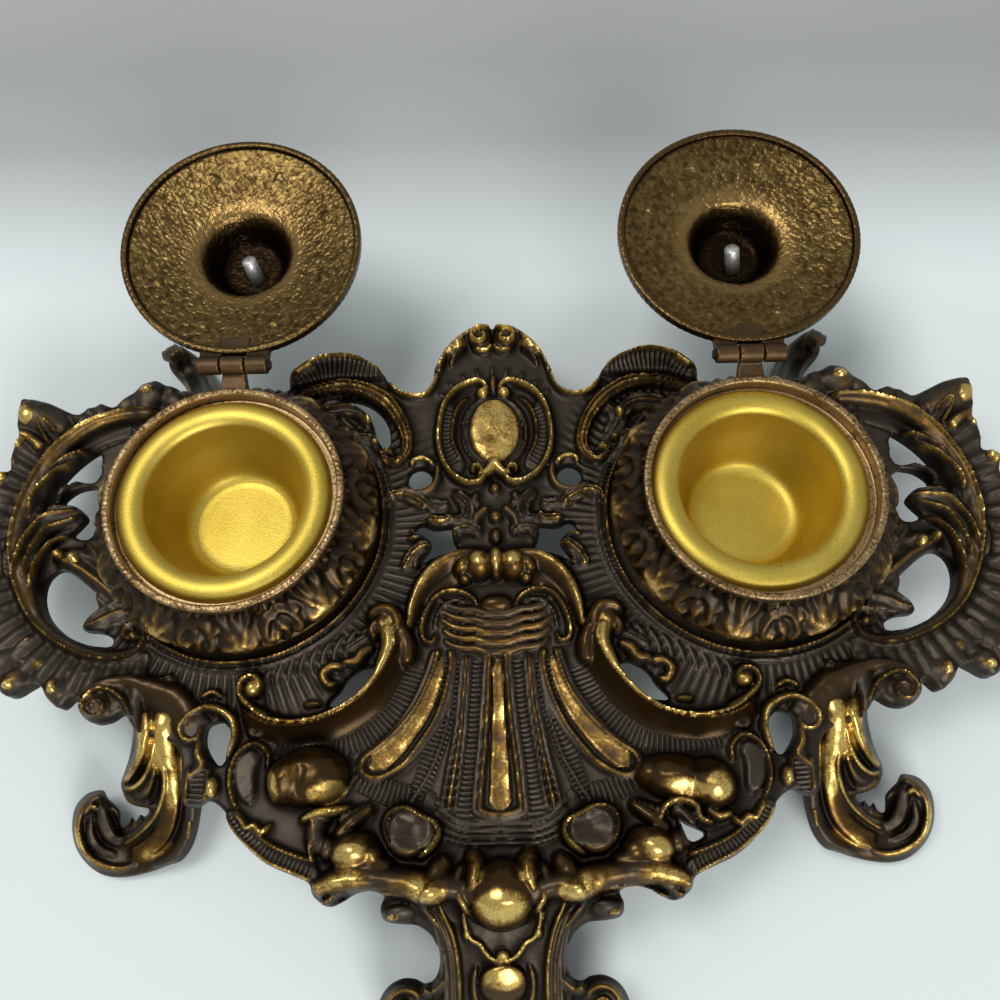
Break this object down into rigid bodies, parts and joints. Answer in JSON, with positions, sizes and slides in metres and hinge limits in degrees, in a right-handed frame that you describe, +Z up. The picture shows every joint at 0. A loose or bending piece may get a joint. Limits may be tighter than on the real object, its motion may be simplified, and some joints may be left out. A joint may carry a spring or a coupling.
{
  "type": "desk inkstand",
  "caption": "Cast double desk inkstand: pierced scrollwork tray on scroll legs, round wells with loose liners and domed lids that lie back on hinges.",
  "frame": {"origin": "on the desk plane, at the centre of the stand's rectangle with the lids lying back", "axes": "+Z up from the desk, +Y towards the back crest and the lids, +X towards the right-hand well as the writer sits"},
  "size_m": [0.304, 0.2665, 0.0632],
  "materials": {
    "patina_bronze": "dark brown-black patina, rubbed to brass on the high edges",
    "rubbed_bronze": "worn bronze with bright rubbed crowns",
    "coppery_bronze": "cast and brushed, warm copper brown",
    "gilt": "satin gilt",
    "steel": "dull grey steel"
  },
  "bodies": {
    "root": {"tray": "patina_bronze", "front_leg": "rubbed_bronze", "left_side_leg": "rubbed_bronze", "right_side_leg": "rubbed_bronze", "left_rear_leg": "patina_bronze", "right_rear_leg": "patina_bronze", "left_well": "coppery_bronze", "right_well": "coppery_bronze", "left_liner": "gilt", "right_liner": "gilt", "left_well_screws": "steel", "right_well_screws": "steel"},
    "left_lid_group": {"left_lid": "coppery_bronze", "left_finial": "rubbed_bronze", "left_finial_stud": "steel", "left_hinge_pin": "steel"},
    "right_lid_group": {"right_lid": "coppery_bronze", "right_finial": "rubbed_bronze", "right_finial_stud": "steel", "right_hinge_pin": "steel"}
  },
  "joints": [
    {"name": "left_lid_hinge", "type": "hinge", "parent": "root", "child": "left_lid_group", "pos_m": [-0.074, 0.05806, 0.0555], "axis": [1, 0, 0], "range_deg": [0, 175]},
    {"name": "right_lid_hinge", "type": "hinge", "parent": "root", "child": "right_lid_group", "pos_m": [0.074, 0.05806, 0.0555], "axis": [1, 0, 0], "range_deg": [0, 175]}
  ]
}
